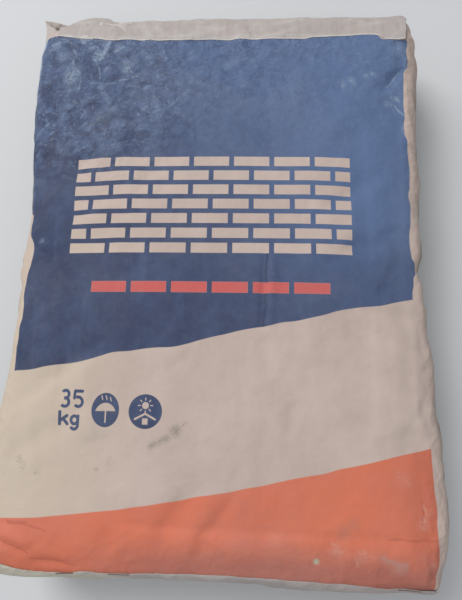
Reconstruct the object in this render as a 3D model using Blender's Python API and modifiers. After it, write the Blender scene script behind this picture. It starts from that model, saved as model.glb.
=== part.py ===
"""A filled 35 kg paper valve sack of cement, lying on its back with its printed face up.

Metres, +Z up. The sack lies on z = 0 with the middle of its outline over the origin. +Y runs to
the head end, which holds the filling valve, and +X to the right of the printed face.
"""

import math

import bmesh
import bpy
import numpy as np
from mathutils import Vector

# The whole sack, over its two end patches
sack_length = 0.609
sack_height = 0.116

# The printed face and the two folded ends
face_width = 0.399
side_bulge = 0.021
side_drop = 0.014
end_drop = 0.011
waist_depth = 0.013
foot_spread = 0.008
head_crease_set_back = 0.0445
foot_crease_set_back = 0.017
end_corner_set_back = 0.003

# How far the filled sides stand out, or where below 0 are pinched in, from the foot at -1 to the
# head at 1
left_side_pushes = (
    (-1, 0.001), (-0.87, 0.001), (-0.7, 0.0005), (-0.5, -0.001), (-0.25, -0.0025), (0, -0.001),
    (0.25, -0.003), (0.5, -0.002), (0.7, -0.0025), (0.87, -0.002), (1, -0.001),
)
right_side_pushes = (
    (-1, 0.001), (-0.87, 0.001), (-0.7, 0.0005), (-0.5, 0), (-0.25, 0.0035), (0, -0.002),
    (0.25, 0.004), (0.5, -0.0005), (0.7, 0), (0.87, 0.005), (0.97, 0.005), (1, 0.0015),
)

# How far the foot end stands back, from its left corner at -1 to its right one at 1
foot_set_backs = (
    (-1, 0.012), (-0.87, 0.007), (-0.5, 0.006), (0, 0.006), (0.5, 0.002), (0.87, 0), (1, 0),
)

# The underside
under_edge_lift = 0.011
under_edge_set_back = 0.020

# Paper
patch_margin = 0.0025
patch_thickness = 0.0005
paper_clearance = 0.0003

# The filling valve, at the left of the head end
sleeve_length = 0.062
sleeve_low_edge = 0.022
sleeve_high_edge = 0.082
sleeve_mouth_set_back = 0.002
sleeve_thickness = 0.0024
sleeve_ply = 0.0006
sleeve_hem = 0.003
patch_step = 0.008

# The cage that the sack is drawn on
cells_across = 6
cells_along = 12
cells_high = 6
smoothing_levels = 2
smoothing_share = 1 / 6
fold_crease = 0.55
under_fold_crease = 0.3
shoulder_power = 3.4
crown_power = 3
belly_power = 12
fold_power = 4
waist_power = 3

# Two cage places closer than this are one
same_place = 1e-6

# Colours and finish of the paper
cream_paper = (0.50, 0.42, 0.36, 1)
patch_paper = (0.44, 0.40, 0.36, 1)
sleeve_paper = (0.36, 0.31, 0.25, 1)
paper_roughness = 0.85


def cleared_scene():
    for old in list(bpy.data.objects):
        bpy.data.objects.remove(old, do_unlink=True)


def new_collection(name, rendered):
    collection = bpy.data.collections.new(name)
    collection.hide_render = not rendered
    bpy.context.scene.collection.children.link(collection)
    return collection


def paper(name, colour):
    material = bpy.data.materials.new(name)
    material.use_nodes = True
    shader = material.node_tree.nodes["Principled BSDF"]
    shader.inputs["Base Color"].default_value = colour
    shader.inputs["Roughness"].default_value = paper_roughness
    shader.inputs["Metallic"].default_value = 0
    return material


def add_object(name, mesh, collection, *materials):
    piece = bpy.data.objects.new(name, mesh)
    for material in materials:
        piece.data.materials.append(material)
    collection.objects.link(piece)
    return piece


def set_back(w, crease_set_back):
    """How far the end stands back at height w, from -1 at the lower fold to 1 at the upper one."""
    top = crease_set_back * max(w, 0) ** shoulder_power
    return top + under_edge_set_back * max(-w, 0) ** shoulder_power


def read_off(table, place):
    """The value that a table of (place, value) pairs gives at a place."""
    return float(np.interp(place, *zip(*table)))


def corner_set_back(u, end):
    """How far this place across an end stands back: end is 1 at the head and -1 at the foot."""
    if end < 0:
        return read_off(foot_set_backs, u)
    return end_corner_set_back * abs(u) ** crown_power


def end_reach(u, w, end):
    """The end's distance from the middle, with what the smoothing draws in made up."""
    crease_set_back = head_crease_set_back if end > 0 else foot_crease_set_back
    row = 2 / cells_high
    drawn_in = set_back(row, crease_set_back) + set_back(-row, crease_set_back)
    whole = sack_length / 2 - paper_clearance - patch_thickness + drawn_in * smoothing_share
    return whole - set_back(w, crease_set_back) - corner_set_back(u, end)


def side_reach(v, w, side):
    """Half the width on one side: straight folds at the ends, and a belly fullest at the foot."""
    next_row = (2 / cells_high) ** shoulder_power
    bulge = side_bulge + foot_spread * max(-v, 0)
    belly = bulge * (1 + 2 * next_row * smoothing_share)
    push = read_off(right_side_pushes if side > 0 else left_side_pushes, v)
    swell = (belly * (1 - abs(v) ** belly_power) + push) * (1 - abs(w) ** shoulder_power)
    return face_width / 2 + swell - waist_depth * (1 - v**2) ** waist_power


def face_height(u, v):
    """The crowned printed face: lower at its ends, and at its sides where they aren't folded."""
    side = side_drop * abs(u) ** crown_power * (1 - abs(v) ** fold_power)
    return sack_height + crown_draw() - side - end_drop * abs(v) ** crown_power


def crown_draw():
    """What the smoothing takes off the middle of the crown."""
    next_u = math.sin(math.pi / cells_across)
    next_v = math.sin(math.pi / cells_along)
    return 2 * smoothing_share * (side_drop * next_u**crown_power + end_drop * next_v**crown_power)


def placed(cage_point):
    """A point of the even cage, each way from -1 to 1, in its place on the sack."""
    u = math.sin(math.pi / 2 * cage_point.x)
    v = math.sin(math.pi / 2 * cage_point.y)
    w = cage_point.z
    on_outline = max(abs(u), abs(v)) > 1 - same_place
    low = under_edge_lift if on_outline else 0
    height = (1 + math.sin(math.pi / 2 * w)) / 2
    return Vector(
        (
            u * side_reach(v, w, u),
            v * end_reach(u, w, v),
            low + (face_height(u, v) - low) * height,
        )
    )


def cut_cage(bm, axis, cells):
    """Cuts the edges that run along one axis into cells."""
    edges = [e for e in bm.edges if abs(e.verts[0].co[axis] - e.verts[1].co[axis]) > same_place]
    bmesh.ops.subdivide_edges(bm, edges=edges, cuts=cells - 1, use_grid_fill=True)


def fold_value(edge):
    """The crease of a cage edge: the folds round the two end panels are pressed, the rest is soft."""
    ends = [v.co for v in edge.verts]
    if not all(abs(abs(p.y) - 1) < same_place for p in ends):
        return 0
    if all(abs(p.z + 1) < same_place for p in ends):
        return under_fold_crease
    on_upper_fold = all(abs(p.z - 1) < same_place for p in ends)
    on_side_fold = all(abs(abs(p.x) - 1) < same_place for p in ends)
    return fold_crease if on_upper_fold or on_side_fold else 0


def sack_body(collection, face_material, end_material):
    bm = bmesh.new()
    bmesh.ops.create_cube(bm, size=2)
    for axis, cells in enumerate((cells_across, cells_along, cells_high)):
        cut_cage(bm, axis, cells)
    crease = bm.edges.layers.float.new("crease_edge")
    for edge in bm.edges:
        edge[crease] = fold_value(edge)
    for face in bm.faces:
        on_end = all(abs(abs(corner.co.y) - 1) < same_place for corner in face.verts)
        face.material_index = int(on_end)
        face.smooth = True
    for vertex in bm.verts:
        vertex.co = placed(vertex.co)
    mesh = bpy.data.meshes.new("sack_body")
    bm.to_mesh(mesh)
    bm.free()
    sack = add_object("sack_body", mesh, collection, face_material, end_material)
    smooth = sack.modifiers.new("rounded paper", "SUBSURF")
    smooth.levels = smoothing_levels
    smooth.render_levels = smoothing_levels
    sack.modifiers.new("facets", "TRIANGULATE")
    return sack


def end_panel(sack, end):
    """The facets of one end panel of the sack: end is 1 at the head and -1 at the foot."""
    graph = bpy.context.evaluated_depsgraph_get()
    whole = bpy.data.meshes.new_from_object(sack.evaluated_get(graph))
    bm = bmesh.new()
    bm.from_mesh(whole)
    bpy.data.meshes.remove(whole)
    others = [
        face
        for face in bm.faces
        if face.material_index == 0 or face.calc_center_median().y * end < 0
    ]
    bmesh.ops.delete(bm, geom=others, context="FACES")
    bm.normal_update()
    return bm


def trim_margin(bm, margin):
    """Takes a strip of one width off all round the panel."""
    rim = bmesh.ops.inset_region(
        bm, faces=bm.faces[:], thickness=margin, use_boundary=True, use_even_offset=True
    )
    bmesh.ops.delete(bm, geom=rim["faces"], context="FACES")
    bm.normal_update()


def cut_panel(bm, axis, place, keep=0):
    """Cuts the panel at a plane. keep is 1 to keep what lies above it, -1 below it, 0 for both."""
    normal = Vector((0, 0, 0))
    normal[axis] = 1
    bmesh.ops.bisect_plane(
        bm,
        geom=bm.verts[:] + bm.edges[:] + bm.faces[:],
        plane_co=normal * place,
        plane_no=normal,
        clear_inner=keep > 0,
        clear_outer=keep < 0,
    )


def lift_off(bm, height_at):
    """Moves the sheet out along its normals by a height that may differ from place to place."""
    bm.normal_update()
    moved = [(vertex, vertex.co + vertex.normal * height_at(vertex.co)) for vertex in bm.verts]
    for vertex, place in moved:
        vertex.co = place


def sheet_object(name, bm, thickness, collection, *materials):
    """A sheet of paper as an object, with its thickness on its outer side."""
    for face in bm.faces:
        face.smooth = True
        face.material_index = 0
    mesh = bpy.data.meshes.new(name)
    bm.to_mesh(mesh)
    bm.free()
    sheet = add_object(name, mesh, collection, *materials)
    solid = sheet.modifiers.new("thickness", "SOLIDIFY")
    solid.thickness = thickness
    solid.offset = 1
    solid.use_even_offset = True
    return sheet


def sleeve_end():
    """Where the sleeve ends inside the head panel."""
    return -face_width / 2 + sleeve_length


def foot_end_patch(sack, collection, material):
    bm = end_panel(sack, -1)
    trim_margin(bm, patch_margin)
    lift_off(bm, lambda place: paper_clearance)
    return sheet_object("foot_end_patch", bm, patch_thickness, collection, material)


def head_end_patch(sack, collection, material):
    """The head's cover sheet, which steps up over the valve sleeve that it is pasted on."""
    bm = end_panel(sack, 1)
    trim_margin(bm, patch_margin)
    near_end = sleeve_end() + patch_step / 2
    near_low = sleeve_low_edge - patch_step / 2
    near_high = sleeve_high_edge + patch_step / 2
    for axis, near, out in ((0, near_end, 1), (2, near_low, -1), (2, near_high, 1)):
        cut_panel(bm, axis, near)
        cut_panel(bm, axis, near + out * patch_step)

    def height_at(place):
        away = max(place.x - near_end, near_low - place.z, place.z - near_high, 0)
        step = max(1 - away / patch_step, 0)
        return paper_clearance + step * (sleeve_thickness + paper_clearance)

    lift_off(bm, height_at)
    return sheet_object("head_end_patch", bm, patch_thickness, collection, material)


def sleeve_panel(sack, margin, past_end, hem):
    """The stretch of the head panel under the sleeve, or under the slit through it."""
    bm = end_panel(sack, 1)
    if margin:
        trim_margin(bm, margin)
    cut_panel(bm, 0, sleeve_end() + past_end, keep=-1)
    cut_panel(bm, 2, sleeve_low_edge + hem, keep=1)
    cut_panel(bm, 2, sleeve_high_edge - hem, keep=-1)
    return bm


def valve_sleeve(sack, collection, cutters, material):
    """A flattened paper tube with a slit right through it, from its mouth at the sack's corner."""
    slab = sleeve_panel(sack, sleeve_mouth_set_back, 0, 0)
    lift_off(slab, lambda place: paper_clearance)
    sleeve = sheet_object("valve_sleeve", slab, sleeve_thickness, collection, material)

    slit = sleeve_panel(sack, 0, sleeve_mouth_set_back, sleeve_hem)
    lift_off(slit, lambda place: paper_clearance + sleeve_ply)
    slit_thickness = sleeve_thickness - 2 * sleeve_ply
    cutter = sheet_object("sleeve_slit", slit, slit_thickness, cutters)
    cutter.hide_render = True
    cutter.display_type = "WIRE"

    cut = sleeve.modifiers.new("slit", "BOOLEAN")
    cut.object = cutter
    cut.operation = "DIFFERENCE"
    cut.solver = "EXACT"
    return sleeve


def main():
    cleared_scene()
    pieces = new_collection("cement_sack", rendered=True)
    cutters = new_collection("cutters", rendered=False)
    face_material = paper("sack paper", cream_paper)
    end_material = paper("end panel paper", cream_paper)
    patch_material = paper("patch paper", patch_paper)
    sleeve_material = paper("sleeve paper", sleeve_paper)
    sack = sack_body(pieces, face_material, end_material)
    foot_end_patch(sack, pieces, patch_material)
    head_end_patch(sack, pieces, patch_material)
    valve_sleeve(sack, pieces, cutters, sleeve_material)


main()
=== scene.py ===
"""The looks of a filled paper cement sack: creased printed paper round a full sack, its pasted end
sheets and its valve. Laid out as an add-on and run as a script. Metres, in the frame of the CAD.
"""

import math
import random

import bpy
import numpy as np
from bpy.props import FloatProperty, FloatVectorProperty, IntProperty, PointerProperty
from mathutils import Matrix, Vector


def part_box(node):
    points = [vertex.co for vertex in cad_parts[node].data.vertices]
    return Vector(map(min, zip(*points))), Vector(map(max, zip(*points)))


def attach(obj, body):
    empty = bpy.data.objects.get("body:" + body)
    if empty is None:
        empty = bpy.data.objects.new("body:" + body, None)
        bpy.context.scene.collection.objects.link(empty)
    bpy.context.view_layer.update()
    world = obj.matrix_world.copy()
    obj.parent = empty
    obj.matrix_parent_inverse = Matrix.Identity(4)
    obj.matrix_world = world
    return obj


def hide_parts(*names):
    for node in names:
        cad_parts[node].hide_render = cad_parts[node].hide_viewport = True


bl_info = {
    "name": "Cement sack",
    "version": (1, 0, 0),
    "blender": (4, 5, 0),
    "location": "View3D > Sidebar > Cement sack",
    "description": "Dresses the packed solids of a filled cement sack in creased, printed paper",
    "category": "Object",
}

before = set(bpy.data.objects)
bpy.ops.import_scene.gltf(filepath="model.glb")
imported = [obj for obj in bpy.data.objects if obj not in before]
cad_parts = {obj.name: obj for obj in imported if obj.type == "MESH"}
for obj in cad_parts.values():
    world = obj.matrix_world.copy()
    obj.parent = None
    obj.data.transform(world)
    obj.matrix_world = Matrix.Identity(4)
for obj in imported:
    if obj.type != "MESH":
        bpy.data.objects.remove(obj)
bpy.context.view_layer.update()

# How far the sides lie outside the smoothed solid, as (place along the sack, push)
RIGHT_PUSH = (
    (-0.31, 0.0035), (-0.296, 0.002), (-0.283, 0.0), (-0.266, 0.0), (-0.20, 0.0005),
    (-0.166, 0.0018), (-0.13, 0.0006), (-0.092, 0.0044), (-0.06, 0.0024), (-0.017, 0.0045),
    (-0.002, -0.0006), (0.018, 0.0050), (0.033, 0.0038), (0.073, 0.002), (0.13, 0.0012),
    (0.20, -0.001), (0.222, -0.0012), (0.250, 0.0008), (0.27, 0.002), (0.285, 0.003),
    (0.31, 0.003),
)
LEFT_PUSH = (
    (-0.31, 0.001), (-0.139, 0.002), (-0.112, 0.0014), (-0.074, 0.0030), (-0.025, 0.0022),
    (0.012, 0.0052), (0.044, 0.0018), (0.072, 0.0005), (0.131, 0.0026), (0.193, 0.0010),
    (0.255, -0.001), (0.31, -0.001),
)

# How far the two ends lie outside it, as (place across the sack, push)
HEAD_PUSH = (
    (-0.21, 0.0), (-0.13, 0.0), (-0.085, 0.0010), (0.0, 0.0019), (0.078, 0.0020), (0.135, 0.0040),
    (0.165, 0.0022), (0.21, 0.0008),
)
FOOT_PUSH = (
    (-0.21, 0.006), (-0.17, 0.0055), (-0.14, 0.0035), (-0.10, 0.004), (-0.06, 0.002), (0.0, 0.003),
    (0.04, 0.0022), (0.08, 0.0034), (0.13, 0.0036), (0.155, 0.0015), (0.175, -0.0012),
    (0.21, -0.0015),
)

# Places where the paper is pressed in or stands out, as (place, reach, move)
PRESSES = (
    ((-0.190, 0.289, 0.094), 0.013, (0.0, -0.015, -0.010)),
    ((-0.182, 0.292, 0.090), 0.014, (0.0, -0.004, -0.003)),
    ((-0.150, 0.300, 0.080), 0.034, (0.0, 0.005, 0.001)),
    ((0.2045, 0.287, 0.095), 0.007, (-0.001, -0.004, -0.005)),
)

# Sharp corners that the paper is drawn out to, as (place, reach, strength)
CORNERS = (
    ((-0.2115, 0.2955, 0.095), 0.034, 0.8),
    ((-0.2115, 0.2960, 0.095), 0.016, 0.7),
)

# The larger folds of the face, as (start, end, width, depth)
FOLDS = (
    ((-0.198, 0.2600), (0.198, 0.2600), 0.006, 0.0012),
    ((-0.198, -0.2860), (0.198, -0.2880), 0.006, 0.0010),
    ((0.199, 0.262), (0.199, 0.130), 0.009, 0.0016),
    ((-0.203, 0.262), (-0.206, 0.140), 0.008, 0.0014),
    ((0.1985, 0.224), (0.172, 0.190), 0.007, -0.0022),
    ((0.1985, 0.215), (0.176, 0.184), 0.006, 0.0010),
    ((-0.126, 0.262), (-0.1315, 0.233), 0.005, 0.0012),
    ((-0.163, 0.264), (-0.146, 0.262), 0.006, -0.0010),
    ((-0.144, 0.290), (-0.122, 0.283), 0.005, -0.0012),
    ((-0.124, 0.284), (-0.110, 0.271), 0.005, -0.0012),
    ((0.188, 0.291), (0.199, 0.270), 0.004, -0.0008),
    ((0.0485, 0.012), (0.0460, -0.072), 0.006, -0.0024),
    ((0.0560, 0.012), (0.0535, -0.066), 0.007, 0.0016),
    ((0.0470, -0.072), (0.0520, -0.112), 0.010, -0.0014),
    ((-0.127, -0.098), (-0.110, -0.174), 0.016, 0.0030),
    ((-0.045, -0.108), (-0.020, -0.092), 0.008, -0.0014),
    ((0.075, -0.135), (0.070, -0.168), 0.010, -0.0016),
    ((-0.178, -0.150), (-0.164, -0.205), 0.010, 0.0014),
    ((-0.092, -0.2455), (0.060, -0.250), 0.006, -0.0007),
    ((0.040, -0.249), (0.204, -0.253), 0.006, -0.0010),
    ((-0.198, -0.262), (-0.164, -0.2745), 0.006, -0.0026),
    ((-0.196, -0.253), (-0.160, -0.267), 0.007, 0.0024),
    ((-0.163, -0.2795), (-0.119, -0.2845), 0.006, -0.0020),
    ((0.1185, -0.270), (0.1185, -0.291), 0.005, 0.0010),
    ((-0.197, 0.058), (-0.170, 0.052), 0.008, -0.0012),
    ((-0.190, 0.040), (-0.175, 0.012), 0.008, 0.0012),
)

# The wandering edges of the print, as (place across, place along) or (place along, place across)
HEAD_EDGE = (
    (-0.2100, 0.2620), (-0.1970, 0.2640), (-0.1822, 0.2641), (-0.1675, 0.2602), (-0.1537, 0.2585),
    (-0.1403, 0.2594), (-0.1259, 0.2558), (-0.1126, 0.2567), (-0.0991, 0.2564), (-0.0854, 0.2553),
    (-0.0719, 0.2545), (-0.0586, 0.2553), (-0.0452, 0.2550), (-0.0319, 0.2555), (-0.0188, 0.2574),
    (-0.0054, 0.2573), (0.0080, 0.2568), (0.0213, 0.2560), (0.0345, 0.2563), (0.0477, 0.2556),
    (0.0609, 0.2552), (0.0740, 0.2555), (0.0871, 0.2557), (0.1003, 0.2579), (0.1135, 0.2583),
    (0.1265, 0.2592), (0.1397, 0.2592), (0.1527, 0.2605), (0.1660, 0.2600), (0.1700, 0.2592),
    (0.1781, 0.2536), (0.1913, 0.2538), (0.1981, 0.2549), (0.2100, 0.2552),
)
BLUE_LEFT = (
    (-0.1200, -0.1990), (-0.1004, -0.1991), (-0.0894, -0.1993), (-0.0783, -0.1986),
    (-0.0671, -0.1991), (-0.0559, -0.1968), (-0.0443, -0.1968), (-0.0326, -0.1985),
    (-0.0212, -0.1972), (-0.0098, -0.1955), (0.0016, -0.1927), (0.0133, -0.1916),
    (0.0257, -0.1946), (0.0386, -0.1981), (0.0508, -0.1970), (0.0560, -0.2000), (0.0700, -0.2085),
    (0.1000, -0.2110), (0.1800, -0.2130), (0.2300, -0.2100), (0.2550, -0.2065), (0.2700, -0.1985),
)
BLUE_RIGHT = (
    (-0.0450, 0.1940), (-0.0298, 0.1940), (-0.0206, 0.1956), (-0.0111, 0.1965), (-0.0005, 0.1999),
    (0.0076, 0.1966), (0.0165, 0.1946), (0.0259, 0.1940), (0.0355, 0.1945), (0.0449, 0.1958),
    (0.0546, 0.1963), (0.0645, 0.1969), (0.0739, 0.1951), (0.0846, 0.1975), (0.0944, 0.1976),
    (0.1046, 0.1980), (0.1145, 0.1975), (0.1248, 0.1971), (0.1346, 0.1971), (0.1439, 0.1939),
    (0.1549, 0.1938), (0.1652, 0.1951), (0.1760, 0.1947), (0.1867, 0.1952), (0.1974, 0.1956),
    (0.2080, 0.1960), (0.2196, 0.1983), (0.2304, 0.2017), (0.2402, 0.2005), (0.2513, 0.2021),
    (0.2600, 0.2010), (0.2700, 0.2010),
)
BLUE_LOW = (
    (-0.2100, -0.1110), (-0.1971, -0.1098), (-0.1806, -0.1088), (-0.1654, -0.1058),
    (-0.1512, -0.1037), (-0.1377, -0.1020), (-0.1230, -0.0992), (-0.1086, -0.0953),
    (-0.0952, -0.0914), (-0.0818, -0.0902), (-0.0685, -0.0880), (-0.0551, -0.0864),
    (-0.0416, -0.0858), (-0.0284, -0.0832), (-0.0151, -0.0792), (-0.0019, -0.0756),
    (0.0114, -0.0725), (0.0246, -0.0690), (0.0379, -0.0664), (0.0512, -0.0642), (0.0645, -0.0607),
    (0.0777, -0.0591), (0.0910, -0.0560), (0.1045, -0.0527), (0.1182, -0.0483), (0.1315, -0.0458),
    (0.1453, -0.0437), (0.1590, -0.0423), (0.1735, -0.0385), (0.1888, -0.0348), (0.2050, -0.0315),
)
ORANGE_TOP = (
    (-0.2100, -0.2465), (-0.1896, -0.2445), (-0.1737, -0.2434), (-0.1588, -0.2425),
    (-0.1438, -0.2406), (-0.1290, -0.2388), (-0.1143, -0.2370), (-0.0996, -0.2352),
    (-0.0851, -0.2335), (-0.0704, -0.2308), (-0.0559, -0.2287), (-0.0414, -0.2259),
    (-0.0272, -0.2238), (-0.0127, -0.2202), (0.0019, -0.2177), (0.0162, -0.2153),
    (0.0305, -0.2118), (0.0448, -0.2094), (0.0591, -0.2060), (0.0735, -0.2027), (0.0879, -0.1999),
    (0.1023, -0.1975), (0.1168, -0.1933), (0.1313, -0.1904), (0.1458, -0.1871), (0.1608, -0.1835),
    (0.1765, -0.1801), (0.1922, -0.1770), (0.2100, -0.1730),
)
ORANGE_RIGHT = (
    (-0.3000, 0.1975), (-0.2910, 0.1995), (-0.2814, 0.2011), (-0.2714, 0.2040), (-0.2618, 0.2051),
    (-0.2519, 0.2048), (-0.2418, 0.2044), (-0.2318, 0.2053), (-0.2217, 0.2051), (-0.2114, 0.2038),
    (-0.2011, 0.2039), (-0.1907, 0.2038), (-0.1801, 0.2036), (-0.1700, 0.2030),
)
FOOT_EDGE = (
    (-0.2100, -0.2770), (-0.1887, -0.2842), (-0.1742, -0.2880), (-0.1600, -0.2905),
    (-0.1453, -0.2907), (-0.1307, -0.2914), (-0.1152, -0.2881), (-0.1007, -0.2894),
    (-0.0861, -0.2892), (-0.0716, -0.2894), (-0.0569, -0.2881), (-0.0422, -0.2874),
    (-0.0277, -0.2872), (-0.0132, -0.2866), (0.0012, -0.2866), (0.0154, -0.2868),
    (0.0297, -0.2881), (0.0439, -0.2882), (0.0581, -0.2884), (0.0722, -0.2893), (0.0862, -0.2896),
    (0.1002, -0.2902), (0.1142, -0.2901), (0.1281, -0.2913), (0.1422, -0.2926), (0.1568, -0.2948),
    (0.1705, -0.2939), (0.1844, -0.2942), (0.1950, -0.2945), (0.2100, -0.2950),
)

# Where the ink is scuffed, as (place, reach, strength)
SCUFFS = (
    ((-0.165, 0.214), 0.018, 1.0), ((-0.136, 0.236), 0.013, 0.9), ((-0.186, 0.252), 0.009, 0.8),
    ((-0.116, 0.246), 0.010, 0.8), ((-0.103, 0.221), 0.012, 0.7), ((-0.176, 0.236), 0.014, 0.6),
    ((-0.156, 0.259), 0.009, 1.0), ((0.156, 0.208), 0.006, 0.7), ((0.164, 0.209), 0.005, 0.7),
    ((0.186, 0.188), 0.007, 0.7), ((0.129, 0.196), 0.005, 0.6), ((0.181, 0.175), 0.012, 0.5),
    ((0.190, 0.244), 0.014, 0.5), ((-0.182, 0.022), 0.006, 0.5), ((0.115, -0.262), 0.012, 0.8),
    ((0.136, -0.268), 0.010, 0.8), ((0.195, -0.274), 0.010, 0.7), ((0.192, -0.236), 0.012, 0.8),
    ((0.176, -0.202), 0.014, 0.4), ((0.060, -0.256), 0.016, 0.4), ((-0.148, 0.246), 0.012, 0.6),
    ((0.140, 0.200), 0.008, 0.6), ((0.196, 0.150), 0.010, 0.5),
)

# Pale folds in the head's end sheet where it pinches in by the valve, worn paper and painted
# highlights along the folds, as (start, end, half width)
PINCHES = (
    ((-0.1438, 0.2888), (-0.1343, 0.2882), 0.0007), ((-0.1343, 0.2882), (-0.1218, 0.2850), 0.0008),
    ((-0.1218, 0.2850), (-0.1119, 0.2750), 0.0007), ((-0.1420, 0.2890), (-0.1410, 0.2840), 0.0016),
    ((-0.1190, 0.2880), (-0.1080, 0.2890), 0.0018), ((-0.1620, 0.2600), (-0.1540, 0.2640), 0.0014),
)

# Where the foot's end sheet stands off a little, as (start, end): painted shadows in the gaps, then
# painted highlights on its lit edge
FOOT_GAPS = (
    ((-0.1400, -0.2921), (-0.1240, -0.2904)), ((-0.0910, -0.2900), (-0.0730, -0.2902)),
    ((0.1680, -0.2950), (0.1880, -0.2954)),
)
FOOT_LIT = (((-0.0970, -0.2950), (-0.0770, -0.2955)), ((-0.1175, -0.2895), (-0.1150, -0.2890)))

# Pale strokes where the ink is rubbed through, as (start, end, half width)
RUBS = (
    ((-0.1804, 0.2607), (-0.1696, 0.2526), 0.0007), ((-0.1595, 0.2600), (-0.1555, 0.2540), 0.0026),
    ((-0.1549, 0.2540), (-0.1485, 0.2580), 0.0017), ((-0.1256, 0.2560), (-0.1308, 0.2365), 0.0019),
    ((-0.1308, 0.2365), (-0.1340, 0.2310), 0.0020), ((-0.1407, 0.2484), (-0.1330, 0.2390), 0.0009),
    ((-0.1420, 0.2392), (-0.1306, 0.2321), 0.0009), ((-0.1199, 0.2422), (-0.1095, 0.2471), 0.0012),
    ((-0.1930, 0.2526), (-0.1824, 0.2550), 0.0010), ((-0.1658, 0.2316), (-0.1658, 0.2250), 0.0009),
    ((-0.1660, 0.2440), (-0.1640, 0.2400), 0.0011), ((-0.1389, 0.2298), (-0.1325, 0.2069), 0.0004),
    ((-0.1435, 0.2006), (-0.1166, 0.2012), 0.0005), ((-0.1046, 0.2273), (-0.0977, 0.2147), 0.0007),
    ((0.178, 0.198), (0.192, 0.216), 0.0007), ((-0.1112, 0.2040), (-0.0917, 0.2093), 0.0005),
    ((-0.1541, 0.2055), (-0.1560, 0.1913), 0.0005), ((0.1700, -0.1990), (0.1790, -0.2050), 0.0005),
    ((0.1920, -0.2230), (0.1940, -0.2330), 0.0008), ((0.1080, -0.2560), (0.1120, -0.2590), 0.0008),
    ((0.1290, -0.2680), (0.1310, -0.2740), 0.0007), ((0.1860, 0.1760), (0.1960, 0.1640), 0.0010),
)

# Small specks of dirt on the bare paper, as (middle, reach)
SPECKS = (
    ((-0.1050, -0.1985), 0.006), ((-0.1795, -0.1965), 0.008), ((-0.1620, -0.2035), 0.004),
    ((-0.0920, -0.1930), 0.004),
)

# Painted shade: dark lines in the sharpest creases, as (start, end, half width)
CREASES = (
    ((0.0500, 0.0100), (0.0487, -0.0388), 0.0012), ((0.0487, -0.0388), (0.0474, -0.0700), 0.0012),
    ((-0.1860, -0.2470), (-0.1680, -0.2485), 0.0016),
    ((-0.1650, -0.2500), (-0.1510, -0.2535), 0.0008),
    ((-0.1950, -0.2620), (-0.1770, -0.2675), 0.0010),
    ((-0.1770, -0.2675), (-0.1655, -0.2730), 0.0010),
    ((-0.1640, -0.2785), (-0.1360, -0.2805), 0.0008),
    ((-0.1360, -0.2805), (-0.1210, -0.2840), 0.0008),
    ((0.1596, -0.2518), (0.2032, -0.2534), 0.0008), ((0.1915, -0.2190), (0.1900, -0.2380), 0.0006),
)

# The brickwork in the blue field, as (left, right, low, high, courses, bricks in a course)
CREAM_BRICKS = (-0.149, 0.134, 0.0075, 0.111, 7, 7)
RED_BRICKS = (-0.123, 0.111, -0.0325, -0.0215, 1, 6)
BRICK_JOINT = 0.005

# The print lies on the paper above this height, and the orange band ends here on the left
FACE_LOW = 0.075
BAND_LEFT = -0.206

# The sides of the pasted end sheets, as (left, right), and the height where both end
HEAD_SHEET_SIDES = (-0.1865, 0.1985)
FOOT_SHEET_SIDES = (-0.1990, 0.1990)
SHEET_LOW = 0.012

# The valve's mouth: from here outwards it opens over this run, and its top sinks by this much
MOUTH_START = -0.160
MOUTH_RUN = 0.030
MOUTH_SINK = 0.013

# How far paper lies off the paper under it, and how high the fibres of kraft paper stand
SHEET_GAP = 0.0002
SLEEVE_GAP = 0.0006
FIBRE_HEIGHT = 0.00006


class SackShape(bpy.types.PropertyGroup):
    paper_cell: FloatProperty(
        name="Paper cell", description="Size of the quads that the paper is simulated with",
        default=0.0057, min=0.004, unit="LENGTH",
    )
    fill_pressure: FloatProperty(
        name="Fill pressure", description="How hard the fill pushes the paper out",
        default=4.0, min=0,
    )
    slack: FloatProperty(
        name="Slack", description="Share by which the paper is larger than its fill",
        default=0.02, min=0, max=0.1,
    )
    fill_steps: IntProperty(
        name="Fill steps", description="Frames that the filling takes", default=20, min=1,
    )
    form_rounds: IntProperty(
        name="Form rounds", description="Rounds of averaging that part the form from its wrinkles",
        default=60, min=1,
    )
    fold_count: IntProperty(
        name="Fold count", description="Number of small folds in the paper", default=700, min=0,
    )
    seed: IntProperty(name="Seed", description="Draws another set of small folds", default=7)
    most_swell: FloatProperty(
        name="Most swell", description="The furthest that the filling moves the paper",
        default=0.0022, min=0, unit="LENGTH",
    )
    sheet_thickness: FloatProperty(
        name="Sheet thickness", description="Thickness of the end sheets and the valve sleeve",
        default=0.0003, min=0.0001, unit="LENGTH",
    )
    sleeve_sides: IntProperty(
        name="Sleeve sides", description="Faces round the valve sleeve", default=40, min=8,
    )
    sleeve_steps: IntProperty(
        name="Sleeve steps", description="Faces along the valve sleeve", default=16, min=1,
    )


def ink(name, description, colour):
    """A colour that a user can change."""
    return FloatVectorProperty(
        name=name, description=description, subtype="COLOR", size=3, default=colour, min=0, max=1
    )


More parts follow.
